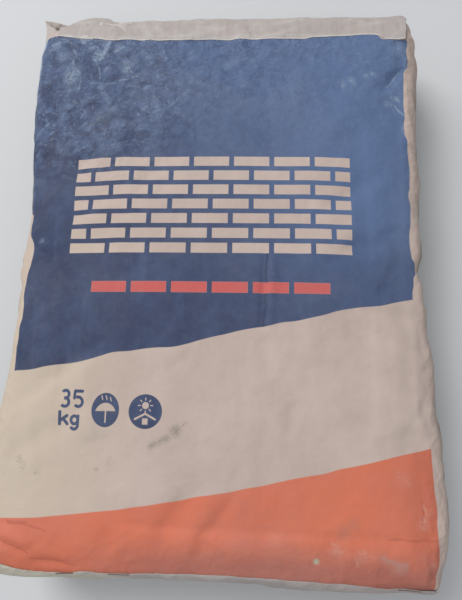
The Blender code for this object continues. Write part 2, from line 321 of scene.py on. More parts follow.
class SackPrint(bpy.types.PropertyGroup):
    cream: ink("Cream", "Bare kraft paper", (0.55, 0.44, 0.385))
    blue: ink("Blue", "The field at the head end", (0.086, 0.134, 0.258))
    deep_blue: ink("Deep blue", "The field where the ink is thickest", (0.036, 0.048, 0.104))
    # Painted shade: the darker blue along the field's left side and in its creases
    shade_blue: ink("Thick blue", "The field along the left side", (0.014, 0.026, 0.070))
    pale_blue: ink("Pale blue", "The field where the ink is thin", (0.092, 0.138, 0.256))
    # Painted sheen: the lighter blue towards the field's right side
    sheen_blue: ink("Light blue", "The field towards the right side", (0.108, 0.167, 0.310))
    orange: ink("Orange", "The band at the foot end", (0.640, 0.168, 0.092))
    dull_orange: ink("Dull orange", "The band where it is rubbed", (0.590, 0.168, 0.105))
    # Painted shade in the band's creases; it also darkens the band towards its right and low edge
    deep_orange: ink("Deep orange", "The band in its creases", (0.34, 0.075, 0.050))
    dusty_orange: ink("Dusty orange", "The band along the foot fold", (0.42, 0.145, 0.105))
    red: ink("Red", "The course of small bricks", (0.55, 0.110, 0.100))
    rubbed: ink("Rubbed", "Where the ink is rubbed off", (0.31, 0.39, 0.49))
    yellowed: ink("Yellowed", "The bare paper along the left side", (0.55, 0.455, 0.362))
    shade: ink("Shade", "The darker streaks of the bare paper", (0.40, 0.32, 0.28))
    dirt: ink("Dirt", "Smears on the paper", (0.21, 0.19, 0.16))
    # Painted shade and grime along the sides
    grime_and_side_shade: ink("Grime", "The dirt along the sides", (0.24, 0.195, 0.150))
    rubbed_band: ink("Rubbed band", "Where the band is rubbed", (0.60, 0.30, 0.23))
    scraped: ink("Scraped", "Where the band's ink is scraped thin", (0.40, 0.25, 0.22))
    spot: ink("Spot", "A pale drop of paint", (0.42, 0.45, 0.32))
    # Painted shade: the dark colour put in the valve's mouth and in the gaps beside the end sheets
    gap_shadow: ink("Hollow", "The dark mouth of the valve", (0.10, 0.07, 0.05))
    sheet: ink("Sheet", "The pasted end sheets", (0.450, 0.403, 0.383))
    # Worn paper, and painted highlights on the sheets' upper edge, pinch folds and lit foot edge
    worn_and_lit_sheet: ink("Worn sheet", "The end sheets' worn edges", (0.62, 0.60, 0.57))
    old_sheet: ink("Old sheet", "The end sheet at the foot's left corner", (0.58, 0.54, 0.44))
    sleeve: ink("Sleeve", "The brown paper of the valve sleeve", (0.30, 0.22, 0.15))


class StageSettings(bpy.types.PropertyGroup):
    floor_size: FloatProperty(
        name="Floor size", description="Side of the square floor", default=8.0, unit="LENGTH",
    )
    floor_colour: FloatVectorProperty(
        name="Floor colour", description="Colour of the plain floor", subtype="COLOR", size=3,
        default=(0.60, 0.61, 0.62), min=0, max=1,
    )


def deselected():
    bpy.ops.object.select_all(action="DESELECT")


def made_active(piece):
    deselected()
    piece.select_set(True)
    bpy.context.view_layer.objects.active = piece


def applied(piece, modifier):
    """Applies one modifier of the piece."""
    made_active(piece)
    bpy.ops.object.modifier_apply(modifier=modifier.name)


def welded_copy(node, name):
    """A copy of a CAD solid with its loose triangles merged."""
    piece = bpy.data.objects.new(name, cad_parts[node].data.copy())
    bpy.context.scene.collection.objects.link(piece)
    made_active(piece)
    bpy.ops.object.mode_set(mode="EDIT")
    bpy.ops.mesh.select_all(action="SELECT")
    bpy.ops.mesh.remove_doubles(threshold=1e-5)
    bpy.ops.object.mode_set(mode="OBJECT")
    return piece


def points_of(mesh):
    flat = np.empty(len(mesh.vertices) * 3, np.float32)
    mesh.vertices.foreach_get("co", flat)
    return flat.reshape(-1, 3).astype(float)


def normals_of(mesh):
    flat = np.empty(len(mesh.vertices) * 3, np.float32)
    mesh.vertex_normals.foreach_get("vector", flat)
    return flat.reshape(-1, 3).astype(float)


def set_points(mesh, points):
    mesh.vertices.foreach_set("co", points.astype(np.float32).ravel())
    mesh.update()


def keep_attribute(mesh, name, values):
    """Stores a value or a place for each vertex, for the material to read."""
    kind = "FLOAT_VECTOR" if values.ndim == 2 else "FLOAT"
    field = "vector" if values.ndim == 2 else "value"
    attribute = mesh.attributes.get(name) or mesh.attributes.new(name, kind, "POINT")
    attribute.data.foreach_set(field, values.astype(np.float32).ravel())


def attribute_of(mesh, name):
    attribute = mesh.attributes[name]
    wide = attribute.data_type == "FLOAT_VECTOR"
    flat = np.empty(len(mesh.vertices) * (3 if wide else 1), np.float32)
    attribute.data.foreach_get("vector" if wide else "value", flat)
    return flat.reshape(-1, 3).astype(float) if wide else flat.astype(float)


def evened(mesh, values, rounds):
    """The values averaged over neighbouring vertices, again and again."""
    ends = np.empty(len(mesh.edges) * 2, np.int32)
    mesh.edges.foreach_get("vertices", ends)
    a, b = ends.reshape(-1, 2).T
    count = np.bincount(np.concatenate((a, b)), minlength=len(mesh.vertices))[:, None]
    for _ in range(rounds):
        total = np.zeros_like(values)
        np.add.at(total, a, values[b])
        np.add.at(total, b, values[a])
        values = 0.5 * values + 0.5 * total / count
    return values


def filled(sack, shape):
    """Lets the fill press the paper out, and keeps the wrinkles that its slack gathers into."""
    rest = points_of(sack.data)
    cloth = sack.modifiers.new("filling", "CLOTH")
    settings = cloth.settings
    settings.quality = 6
    settings.mass = 0.3
    settings.tension_stiffness = 40
    settings.compression_stiffness = 40
    settings.shear_stiffness = 20
    settings.bending_stiffness = 2
    settings.use_pressure = True
    settings.uniform_pressure_force = shape.fill_pressure
    settings.shrink_min = -shape.slack
    settings.effector_weights.gravity = 0
    scene = bpy.context.scene
    for step in range(1, shape.fill_steps + 1):
        scene.frame_set(step)
    graph = bpy.context.evaluated_depsgraph_get()
    move = points_of(sack.evaluated_get(graph).data) - rest
    sack.modifiers.remove(cloth)
    scene.frame_set(1)
    wrinkles = move - evened(sack.data, move, shape.form_rounds)
    size = np.linalg.norm(wrinkles, axis=1, keepdims=True)
    return rest + wrinkles * np.minimum(1, shape.most_swell / np.maximum(size, 1e-9))


def ramp(value, start, run):
    """0 up to start, and 1 from one run further on."""
    return np.clip((value - start) / run, 0, 1)


def falloff(distance, reach):
    """1 at no distance, and smoothly 0 from reach on."""
    return np.maximum(1 - (distance / reach) ** 2, 0) ** 2


def pressed(points):
    """The outline as the sack lies, with the places where it is pressed in or stands out."""
    x, y, z = points.T
    right = np.interp(y, *zip(*RIGHT_PUSH)) * ramp(x, 0.15, 0.05) ** 2
    left = np.interp(y, *zip(*LEFT_PUSH)) * ramp(-x, 0.15, 0.05) ** 2
    head = np.interp(x, *zip(*HEAD_PUSH)) * ramp(y, 0.25, 0.04) ** 2
    foot = np.interp(x, *zip(*FOOT_PUSH)) * ramp(-y, 0.25, 0.04) ** 2
    moved = points.copy()
    moved[:, 0] += (right - left) * ramp(z, 0, 0.03)
    moved[:, 1] += (head - foot) * ramp(z, 0, 0.03)
    for place, reach, move in PRESSES:
        share = falloff(np.linalg.norm(points - place, axis=1), reach)
        moved += share[:, None] * np.array(move)
    for place, reach, strength in CORNERS:
        share = strength * falloff(np.linalg.norm(moved - place, axis=1), reach)
        moved += share[:, None] * (np.array(place) - moved)
    return moved


def fold_relief(points, start, end, width):
    """How near each point is to a straight fold: 1 on its line, 0 from its width on."""
    start, end = np.asarray(start, float), np.asarray(end, float)
    run = end - start
    share = np.clip((points - start) @ run / (run @ run), 0, 1)
    distance = np.linalg.norm(points - start - share[:, None] * run, axis=1)
    fade = 1 - np.abs(2 * share - 1) ** 4
    return np.maximum(1 - distance / width, 0) * fade


def handling(place):
    """How much the paper was handled at a place, from 0 to 1: most at the head's left corner."""
    corner = math.exp(-((place.x + 0.14) ** 2 + (place.y - 0.19) ** 2) / 0.09**2)
    ends = math.exp(-((abs(place.y) - 0.28) ** 2) / 0.035**2) * (0.5 if place.y > 0 else 0.25)
    sides = 0.5 * min(max((abs(place.x) - 0.185) / 0.03, 0), 1)
    band = 0.30 * math.exp(-((place.y - 0.21) ** 2) / 0.09**2)
    return min(1, 0.22 + 0.8 * corner + ends + sides + band)


def random_folds(points, normals, count, seed):
    """Short folds all over the paper, closer together where it was handled most."""
    drawn = random.Random(seed)
    while count:
        at = drawn.randrange(len(points))
        place, out = Vector(points[at]), Vector(normals[at])
        if drawn.random() > handling(place):
            continue
        count -= 1
        turn = drawn.uniform(0, math.tau)
        along = out.orthogonal().normalized()
        along.rotate(Matrix.Rotation(turn, 3, out))
        half = drawn.uniform(0.006, 0.030) * along
        width = drawn.uniform(0.004, 0.011)
        depth = drawn.choice((-1, 1)) * drawn.uniform(0.05, 0.13) * width
        depth *= 0.35 + 0.65 * handling(place)
        yield place - half, place + half, width, depth


def creased(sack, shape):
    """Adds the folds of the paper, each with a straight sharp line, and keeps how worn each is."""
    rest = attribute_of(sack.data, "paper_place")
    points, normals = points_of(sack.data), normals_of(sack.data)
    lift, wear = np.zeros(len(points)), np.zeros(len(points))
    on_face = ramp(rest[:, 2], 0.070, 0.015)
    for start, end, width, depth in FOLDS:
        near = fold_relief(rest[:, :2], start, end, width) * on_face
        lift += depth * near
        if depth > 0:
            wear = np.maximum(wear, near**3)
    for start, end, width, depth in random_folds(rest, normals, shape.fold_count, shape.seed):
        middle = (start + end) / 2
        reach = (end - start).length / 2 + width
        near = np.nonzero(np.abs(rest - middle).max(axis=1) < reach)[0]
        relief = fold_relief(rest[near], start, end, width)
        lift[near] += depth * relief
        if depth > 0:
            wear[near] = np.maximum(wear[near], relief**2 * min(1, depth / 0.0006))
    keep_attribute(sack.data, "fold_wear", wear)
    keep_attribute(sack.data, "handling", np.array([handling(Vector(p)) for p in rest]))
    return points + lift[:, None] * normals


class Net:
    """One node tree, with short ways to add its nodes and to join them."""

    def __init__(self, tree):
        self.tree = tree

    def node(self, kind, **settings):
        made = self.tree.nodes.new(kind)
        for name, value in settings.items():
            setattr(made, name, value)
        return made

    def feed(self, socket, value):
        if isinstance(value, bpy.types.NodeSocket):
            self.tree.links.new(value, socket)
        else:
            socket.default_value = value

    def calc(self, operation, *values, clamp=False):
        made = self.node("ShaderNodeMath", operation=operation, use_clamp=clamp)
        for socket, value in zip(made.inputs, values):
            self.feed(socket, value)
        return made.outputs[0]

    def times(self, *values):
        """The product of all the values."""
        made = values[0]
        for value in values[1:]:
            made = self.calc("MULTIPLY", made, value)
        return made

    def vector(self, operation, *values):
        made = self.node("ShaderNodeVectorMath", operation=operation)
        for socket, value in zip(made.inputs, values):
            self.feed(socket, value)
        single = operation in ("DOT_PRODUCT", "LENGTH", "DISTANCE")
        return made.outputs["Value" if single else "Vector"]

    def scaled(self, vector, factor):
        made = self.node("ShaderNodeVectorMath", operation="SCALE")
        self.feed(made.inputs["Vector"], vector)
        self.feed(made.inputs["Scale"], factor)
        return made.outputs["Vector"]

    def blend(self, share, first, second):
        """The first colour where the share is 0, the second where it is 1."""
        made = self.node("ShaderNodeMix", data_type="RGBA")
        sockets = made.inputs[0], made.inputs[6], made.inputs[7]
        for socket, value in zip(sockets, (share, first, second)):
            self.feed(socket, value)
        return made.outputs[2]

    def tinted(self, colour, share, tint):
        """The colour with a share of a tint over it."""
        return self.blend(share, colour, (*tint, 1))

    def rise(self, value, low, high):
        """0 up to low and 1 from high on, smoothly. With low above high it falls instead."""
        made = self.node("ShaderNodeMapRange", interpolation_type="SMOOTHSTEP")
        for name, given in (("Value", value), ("From Min", low), ("From Max", high)):
            self.feed(made.inputs[name], given)
        return made.outputs["Result"]

    def noise(self, place, scale, detail=2, roughness=0.5, distortion=0, output="Fac"):
        made = self.node("ShaderNodeTexNoise")
        self.feed(made.inputs["Vector"], place)
        for name, value in (("Scale", scale), ("Detail", detail), ("Roughness", roughness)):
            self.feed(made.inputs[name], value)
        made.inputs["Distortion"].default_value = distortion
        return made.outputs[output]

    def attribute(self, name, output):
        return self.node("ShaderNodeAttribute", attribute_name=name).outputs[output]

    def group(self, tree, output, **inputs):
        made = self.node("ShaderNodeGroup", node_tree=tree)
        for name, value in inputs.items():
            self.feed(made.inputs[name.replace("_", " ").capitalize()], value)
        return made.outputs[output]

    def bumped(self, shader, height, distance=1.0):
        """Feeds the shader's normal from a height in metres, times a distance."""
        bump = self.node("ShaderNodeBump")
        bump.inputs["Strength"].default_value = 1.0
        bump.inputs["Distance"].default_value = distance
        self.feed(bump.inputs["Height"], height)
        self.feed(shader.inputs["Normal"], bump.outputs["Normal"])


def new_material(name):
    """A new material, its node tree and its Principled shader."""
    material = bpy.data.materials.new(name)
    material.use_nodes = True
    net = Net(material.node_tree)
    return material, net, net.tree.nodes["Principled BSDF"]


def new_group(name, inputs, outputs):
    """An empty shader node group with named inputs and outputs."""
    tree = bpy.data.node_groups.new(name, "ShaderNodeTree")
    for label, kind, value in inputs:
        socket = tree.interface.new_socket(label, in_out="INPUT", socket_type="NodeSocket" + kind)
        socket.default_value = value
    for label, kind in outputs:
        tree.interface.new_socket(label, in_out="OUTPUT", socket_type="NodeSocket" + kind)
    net = Net(tree)
    return net, net.node("NodeGroupInput").outputs, net.node("NodeGroupOutput").inputs


def straight_stroke():
    """A line with round ends."""
    net, given, result = new_group(
        "straight stroke",
        (("Place", "Vector", (0, 0, 0)), ("Start", "Vector", (0, 0, 0)),
         ("End", "Vector", (0, 0, 0)), ("Half width", "Float", 0.001),
         ("Softness", "Float", 0.0003)),
        (("Mask", "Float"),),
    )
    off = net.vector("SUBTRACT", given["Place"], given["Start"])
    run = net.vector("SUBTRACT", given["End"], given["Start"])
    share = net.calc(
        "DIVIDE", net.vector("DOT_PRODUCT", off, run), net.vector("DOT_PRODUCT", run, run),
        clamp=True,
    )
    distance = net.vector("DISTANCE", off, net.scaled(run, share))
    near = net.calc("SUBTRACT", given["Half width"], given["Softness"])
    far = net.calc("ADD", given["Half width"], given["Softness"])
    net.feed(result["Mask"], net.rise(distance, far, near))
    return net.tree


def round_stroke():
    """An arc, or a disc where its radius is 0. Reach is the cosine of half its sweep."""
    net, given, result = new_group(
        "round stroke",
        (("Place", "Vector", (0, 0, 0)), ("Centre", "Vector", (0, 0, 0)), ("Radius", "Float", 0.01),
         ("Middle", "Vector", (1, 0, 0)), ("Reach", "Float", -2), ("Half width", "Float", 0.001),
         ("Softness", "Float", 0.0003)),
        (("Mask", "Float"),),
    )
    off = net.vector("SUBTRACT", given["Place"], given["Centre"])
    from_line = net.calc(
        "ABSOLUTE", net.calc("SUBTRACT", net.vector("LENGTH", off), given["Radius"])
    )
    near = net.calc("SUBTRACT", given["Half width"], given["Softness"])
    far = net.calc("ADD", given["Half width"], given["Softness"])
    facing = net.vector("DOT_PRODUCT", net.vector("NORMALIZE", off), given["Middle"])
    within = net.calc("GREATER_THAN", facing, given["Reach"])
    net.feed(result["Mask"], net.times(net.rise(from_line, far, near), within))
    return net.tree


def paper_grain():
    """The fibres and the soft cloudiness of kraft paper."""
    net, given, result = new_group(
        "paper grain",
        (("Place", "Vector", (0, 0, 0)), ("Colour", "Color", (0.5, 0.42, 0.38, 1)),
         ("Depth", "Float", 0.12)),
        (("Colour", "Color"), ("Height", "Float")),
    )
    fibres = net.noise(given["Place"], 1400, 3, 0.6)
    clouds = net.noise(given["Place"], 22, 4, 0.6)
    tone = net.calc("ADD", net.times(fibres, 0.35), net.times(clouds, 0.65))
    darker = net.times(net.rise(tone, 0.62, 0.36), given["Depth"])
    net.feed(result["Colour"], net.blend(darker, given["Colour"], (0.16, 0.12, 0.10, 1)))
    net.feed(result["Height"], fibres)
    return net.tree


def fine_crumple():
    """Small facets between sharp folds, as in paper that was crushed and pressed flat again."""
    net, given, result = new_group(
        "fine crumple",
        (("Place", "Vector", (0, 0, 0)), ("Size", "Float", 0.02)),
        (("Height", "Float"), ("Fold", "Float")),
    )
    scale = net.calc("DIVIDE", 1.0, given["Size"])
    drift = net.noise(given["Place"], 45, output="Color")
    waved = net.vector("ADD", given["Place"], net.scaled(drift, net.times(given["Size"], 1.2)))
    cells = net.node("ShaderNodeTexVoronoi", feature="F1")
    net.feed(cells.inputs["Vector"], waved)
    net.feed(cells.inputs["Scale"], scale)
    edges = net.node("ShaderNodeTexVoronoi", feature="DISTANCE_TO_EDGE")
    net.feed(edges.inputs["Vector"], waved)
    net.feed(edges.inputs["Scale"], scale)
    net.feed(result["Height"], net.times(cells.outputs["Distance"], given["Size"]))
    net.feed(result["Fold"], net.rise(edges.outputs["Distance"], 0.09, 0.0))
    return net.tree


def cement_dust():
    """Grey cement dust that clings in patches."""
    net, given, result = new_group(
        "cement dust",
        (("Place", "Vector", (0, 0, 0)), ("Colour", "Color", (0.5, 0.42, 0.38, 1)),
         ("Amount", "Float", 0.3)),
        (("Colour", "Color"), ("Mask", "Float")),
    )
    patches = net.rise(net.noise(given["Place"], 9, 6, 0.62, 0.4), 0.42, 0.66)
    specks = net.rise(net.noise(given["Place"], 160, 4, 0.7), 0.42, 0.72)
    mask = net.calc(
        "MULTIPLY", given["Amount"],
        net.calc("ADD", net.times(patches, 0.6), net.times(specks, 0.4)),
        clamp=True,
    )
    net.feed(result["Colour"], net.blend(mask, given["Colour"], (0.36, 0.35, 0.34, 1)))
    net.feed(result["Mask"], mask)
    return net.tree


def tool(name, make):
    """The node group of that name, made the first time that it is wanted."""
    return bpy.data.node_groups.get(name) or make()


class Print:
    """The printed face, drawn on the places that the paper had before it was creased."""

    def __init__(self, net, place):
        self.net = net
        self.place = place
        split = net.node("ShaderNodeSeparateXYZ")
        net.feed(split.inputs[0], place)
        self.x, self.y, self.z = split.outputs
        self.flat = net.vector("MULTIPLY", place, (1, 1, 0))
        self.straight = tool("straight stroke", straight_stroke)
        self.round = tool("round stroke", round_stroke)

    def line(self, start, end, half_width, softness=0.0003):
        return self.net.group(
            self.straight, "Mask", place=self.flat, start=(*start, 0), end=(*end, 0),
            half_width=half_width, softness=softness,
        )

    def arc(self, centre, radius, half_width, middle=0.0, sweep=360.0, softness=0.0003):
        turn = math.radians(middle)
        reach = math.cos(math.radians(sweep / 2)) if sweep < 360 else -2.0
        return self.net.group(
            self.round, "Mask", place=self.flat, centre=(*centre, 0), radius=radius,
            middle=(math.cos(turn), math.sin(turn), 0), reach=reach, half_width=half_width,
            softness=softness,
        )

    def disc(self, centre, radius):
        return self.arc(centre, 0.0, radius)

    def any_of(self, *masks):
        return self.gathered(iter(masks))

    def gathered(self, masks):
        """The highest of many masks, each joined as it is drawn: a shader holds few at a time."""
        made = next(masks)
        for mask in masks:
            made = self.net.calc("MAXIMUM", made, mask)
        return made

    def without(self, mask, taken):
        return self.net.times(mask, self.net.calc("SUBTRACT", 1.0, taken))

    def above(self, value, limit, softness=0.0005):
        off = self.net.calc("SUBTRACT", value, limit)
        return self.net.rise(off, -softness, softness)

    def below(self, value, limit, softness=0.0005):
        off = self.net.calc("SUBTRACT", limit, value)
        return self.net.rise(off, -softness, softness)

    def traced(self, place, table):
        """The far side of an edge's table of pairs, for each place along its near side."""
        near, far = zip(*table)
        least, most = min(far), max(far)
        curve = self.net.node("ShaderNodeFloatCurve")
        points = curve.mapping.curves[0].points
        shares = [
            ((a - near[0]) / (near[-1] - near[0]), (b - least) / (most - least)) for a, b in table
        ]
        points[0].location, points[1].location = shares[0], shares[-1]
        for share in shares[1:-1]:
            points.new(*share)
        curve.mapping.update()
        off = self.net.calc("SUBTRACT", place, near[0])
        self.net.feed(
            curve.inputs["Value"],
            self.net.calc("DIVIDE", off, near[-1] - near[0], clamp=True),
        )
        return self.net.calc("MULTIPLY_ADD", curve.outputs["Value"], most - least, least)

    def blot(self, place, reach):
        """A soft round mask that is 1 in its middle and 0 from its reach on."""
        return self.arc(place, 0.0, reach / 2, softness=reach / 2)

    def off_by(self, value, middle):
        return self.net.calc("ABSOLUTE", self.net.calc("SUBTRACT", value, middle))

    def warped(self, drift, reach):
        """The same face with its places moved about, so that what is drawn on it is ragged."""
        off = self.net.vector("SUBTRACT", drift, (0.5, 0.5, 0.5))
        return Print(self.net, self.net.vector("ADD", self.place, self.net.scaled(off, reach)))


def brickwork(face, left, right, low, high, courses, bricks):
    """Bricks in running bond in a box on the face."""
    net = face.net
    pitch = (high - low + BRICK_JOINT) / courses
    length = (right - left + BRICK_JOINT) / bricks
    row = net.calc("DIVIDE", net.calc("SUBTRACT", face.y, low), pitch)
    odd = net.calc("MODULO", net.calc("FLOOR", row), 2.0)
    along = net.calc("DIVIDE", net.calc("SUBTRACT", face.x, left), length)
    along = net.calc("MULTIPLY_ADD", odd, 0.5, along)
    up = net.times(net.calc("FRACT", row), pitch)
    across = net.times(net.calc("FRACT", along), length)
    soft = 0.0004
    return net.times(
        face.below(up, pitch - BRICK_JOINT, soft), face.above(up, 0.0, soft),
        face.below(across, length - BRICK_JOINT, soft), face.above(across, 0.0, soft),
        face.above(face.x, left), face.below(face.x, right),
        face.above(face.y, low), face.below(face.y, high),
    )


def handling_marks(face):
    """The weight and two roundels: keep dry, and keep out of the sun."""
    pen = 0.0015
    three = face.any_of(
        face.arc((-0.1402, -0.1317), 0.0036, pen, middle=20, sweep=250),
        face.arc((-0.1402, -0.1390), 0.0039, pen, middle=-20, sweep=250),
    )
    five = face.any_of(
        face.line((-0.1300, -0.1286), (-0.1222, -0.1286), pen),
        face.line((-0.1300, -0.1286), (-0.1306, -0.1350), pen),
        face.arc((-0.1266, -0.1384), 0.0044, pen, middle=-10, sweep=260),
    )
    kay = face.any_of(
        face.line((-0.1445, -0.1480), (-0.1445, -0.1592), pen),
        face.line((-0.1375, -0.1515), (-0.1440, -0.1560), pen),
        face.line((-0.1415, -0.1542), (-0.1370, -0.1590), pen),
    )
    gee = face.any_of(
        face.arc((-0.1297, -0.1552), 0.0036, pen),
        face.line((-0.1258, -0.1516), (-0.1258, -0.1600), pen),
        face.arc((-0.1295, -0.1598), 0.0037, pen, middle=-80, sweep=150),
    )
    # The umbrella's roundel is an oval about (x, y), this many times as high as it is wide
    tall = 1.24
    narrow = Print(face.net, face.net.vector("MULTIPLY", face.place, (tall, 1, 1)))
    x, y = -0.1000 * tall, -0.1454
    umbrella = face.any_of(
        face.net.times(narrow.disc((x, y - 0.006), 0.0125), face.above(face.y, y - 0.001)),
        narrow.line((x, y), (x, y - 0.0110), 0.0008),
        narrow.line((x - 0.004, y + 0.0098), (x - 0.0052, y + 0.0128), 0.0006),
        narrow.line((x + 0.001, y + 0.0098), (x - 0.0002, y + 0.0128), 0.0006),
        narrow.line((x + 0.006, y + 0.0085), (x + 0.0048, y + 0.0115), 0.0006),
    )
    # The sun's roundel is a circle about (u, v)
    u, v = -0.0625, -0.1461
    rays = [
        face.line(
            (u + 0.0050 * math.cos(a), v + 0.0055 + 0.0050 * math.sin(a)),
            (u + 0.0068 * math.cos(a), v + 0.0055 + 0.0068 * math.sin(a)), 0.0005,
        )
        for a in (math.tau * k / 8 for k in range(8))
    ]
    sun_and_roof = face.any_of(
        face.disc((u, v + 0.0055), 0.0032), *rays,
        face.line((u - 0.0095, v - 0.0070), (u, v - 0.0020), 0.0009),
        face.line((u + 0.0095, v - 0.0070), (u, v - 0.0020), 0.0009),
        face.net.times(
            face.below(face.off_by(face.x, u), 0.0026),
            face.below(face.off_by(face.y, v - 0.0090), 0.0028),
        ),
    )
    return face.any_of(
        three, five, kay, gee,
        face.without(narrow.disc((x, y), 0.0157), umbrella),
        face.without(face.disc((u, v), 0.0158), sun_and_roof),
    )


def printed_fields(face):
    """Where the paper is blue, orange and red, and the line of the blue field's left edge."""
    on_face = face.above(face.z, FACE_LOW)
    left = face.traced(face.y, BLUE_LEFT)
    head = face.traced(face.x, HEAD_EDGE)
    blue = face.net.times(
        face.above(face.x, left), face.below(face.x, face.traced(face.y, BLUE_RIGHT)),
        face.below(face.y, head), face.above(face.y, face.traced(face.x, BLUE_LOW)), on_face,
    )
    orange = face.net.times(
        face.below(face.y, face.traced(face.x, ORANGE_TOP)),
        face.above(face.y, face.traced(face.x, FOOT_EDGE)), face.above(face.x, BAND_LEFT),
        face.below(face.x, face.traced(face.y, ORANGE_RIGHT)), on_face,
    )
    bricks = brickwork(face, *CREAM_BRICKS)
    red = face.net.times(blue, brickwork(face, *RED_BRICKS))
    blue = face.any_of(face.without(face.without(blue, bricks), red), handling_marks(face))
    return blue, orange, red, left


class Stains:
    """The patterns that break up the colours of the paper and of the ink, from large to small."""

    def __init__(self, net, place):
        self.clouds = net.noise(place, 13, 4, 0.6)
        self.mottles = net.noise(place, 75, 4, 0.65, 0.5)
        self.grains = net.noise(place, 300, 4, 0.65)
        self.streaks = net.noise(net.vector("MULTIPLY", place, (60, 8, 40)), 1, 3, 0.55)


def bare_paper(face, stains, colours):
    """The cream paper, streaked, and yellowed low on the left side."""
    net = face.net
    paper = tool("paper grain", paper_grain)
    cream = net.group(paper, "Colour", place=face.place, colour=(*colours.cream, 1), depth=0.16)
    streaked = net.times(net.rise(stains.streaks, 0.62, 0.38), 0.08)
    cream = net.tinted(cream, streaked, colours.shade)
    low_left = net.times(net.rise(face.x, -0.04, -0.20), net.rise(face.y, 0.10, -0.05))
    return net.tinted(cream, low_left, colours.yellowed)


def blue_ink(face, stains, crushed, colours):
    """The field's ink: painted shade along the left, thin and patchy where the paper was crushed,
    and a painted sheen towards the right.
    """
    net = face.net
    tone = net.rise(net.calc("MULTIPLY_ADD", face.x, 1.2, face.y), -0.12, 0.32)
    field = net.blend(tone, (*colours.deep_blue, 1), (*colours.blue, 1))
    # Painted shade along the left side of the field
    left_shade = net.times(net.rise(face.x, -0.08, -0.19), net.rise(face.y, 0.17, 0.08))
    field = net.tinted(field, net.times(left_shade, 0.4), colours.shade_blue)
    thin = net.times(net.rise(stains.clouds, 0.40, 0.72), 0.3)
    field = net.tinted(field, thin, colours.pale_blue)
    patchy = net.times(
        net.rise(stains.mottles, 0.40, 0.64), net.calc("MULTIPLY_ADD", crushed, 0.50, 0.10)
    )
    field = net.tinted(field, patchy, colours.pale_blue)
    dark = net.times(
        net.rise(net.calc("ADD", stains.mottles, stains.grains), 1.02, 0.82),
        net.calc("MULTIPLY_ADD", crushed, 0.40, 0.15),
    )
    field = net.tinted(field, dark, colours.deep_blue)
    streaked = net.times(net.rise(stains.streaks, 0.5, 0.72), 0.22)
    field = net.tinted(field, streaked, colours.pale_blue)
    # Painted sheen: the field lighter towards the right and the top
    painted_sheen = net.times(net.rise(face.x, 0.02, 0.17), net.rise(face.y, -0.03, 0.05))
    field = net.tinted(field, net.times(painted_sheen, 0.55), colours.sheen_blue)
    dull = net.times(net.rise(face.x, 0.06, 0.15), net.rise(face.y, 0.05, -0.01))
    return net.tinted(field, net.times(dull, 0.22), colours.deep_blue)


def orange_ink(face, stains, colours):
    """The band's ink: dull in clouds, dusty along the foot fold, deep at its right and low edge."""
    net = face.net
    cloudy = net.rise(stains.clouds, 0.35, 0.7)
    band = net.blend(cloudy, (*colours.orange, 1), (*colours.dull_orange, 1))
    dusty = net.calc("ADD", face.y, net.times(stains.mottles, 0.02))
    dusty = net.times(net.rise(dusty, -0.243, -0.275), net.rise(face.x, -0.14, -0.02))
    band = net.tinted(band, dusty, colours.dusty_orange)
    rich = face.any_of(net.rise(face.x, 0.160, 0.200), net.rise(face.y, -0.266, -0.284))
    return net.tinted(band, net.times(rich, 0.22), colours.deep_orange)


class Wear:
    """Where the ink is rubbed off, and the ragged faces and strokes that other marks share."""

    def __init__(self, face, stains, crushed, worn_fold, left):
        net, place = face.net, face.place
        drift = net.noise(place, 60, 3, output="Color")
        self.uneven = face.warped(drift, 0.022)
        scuff = face.gathered(
            net.times(self.uneven.blot(middle, reach), strength)
            for middle, reach, strength in SCUFFS
        )
        strokes = net.noise(net.vector("MULTIPLY", place, (330, 520, 300)), 1, 4, 0.6, 0.6)
        flecks = net.times(
            net.rise(net.calc("MULTIPLY_ADD", scuff, 0.15, strokes), 0.60, 0.70),
            net.rise(face.any_of(scuff, net.times(crushed, 0.3)), 0.1, 0.6),
        )
        swirl = net.noise(place, 30, 4, 0.6, 1.4)
        veins = net.rise(face.off_by(swirl, 0.5), 0.022, 0.0)
        veins = net.times(veins, net.rise(strokes, 0.42, 0.58))
        turned = net.node("ShaderNodeVectorRotate", rotation_type="Z_AXIS")
        net.feed(turned.inputs["Vector"], place)
        turned.inputs["Angle"].default_value = math.radians(-40)
        slants = net.vector("MULTIPLY", turned.outputs["Vector"], (60, 230, 60))
        slants = net.noise(slants, 1, 3, 0.6, 0.4)
        slants = net.times(net.rise(slants, 0.54, 0.68), net.rise(stains.mottles, 0.48, 0.60))
        self.ragged = face.warped(drift, 0.006)
        rubs = face.gathered(self.ragged.line(*rub, 0.0012) for rub in RUBS)
        left_line = net.times(
            face.below(face.x, net.calc("ADD", left, 0.0046)), net.rise(face.y, 0.06, 0.10)
        )
        self.strokes = strokes
        self.mask = face.any_of(
            net.times(scuff, net.times(net.rise(strokes, 0.30, 0.58), 0.6)),
            net.times(flecks, 0.6),
            net.times(veins, net.times(crushed, 0.3)),
            net.times(slants, net.times(crushed, 0.35)),
            net.times(rubs, net.calc("MULTIPLY_ADD", net.rise(strokes, 0.40, 0.60), 0.4, 0.3)),
            net.times(
                net.times(worn_fold, crushed), net.times(net.rise(strokes, 0.35, 0.60), 0.35)
            ),
            net.times(left_line, net.rise(stains.clouds, 0.2, 0.6)),
        )


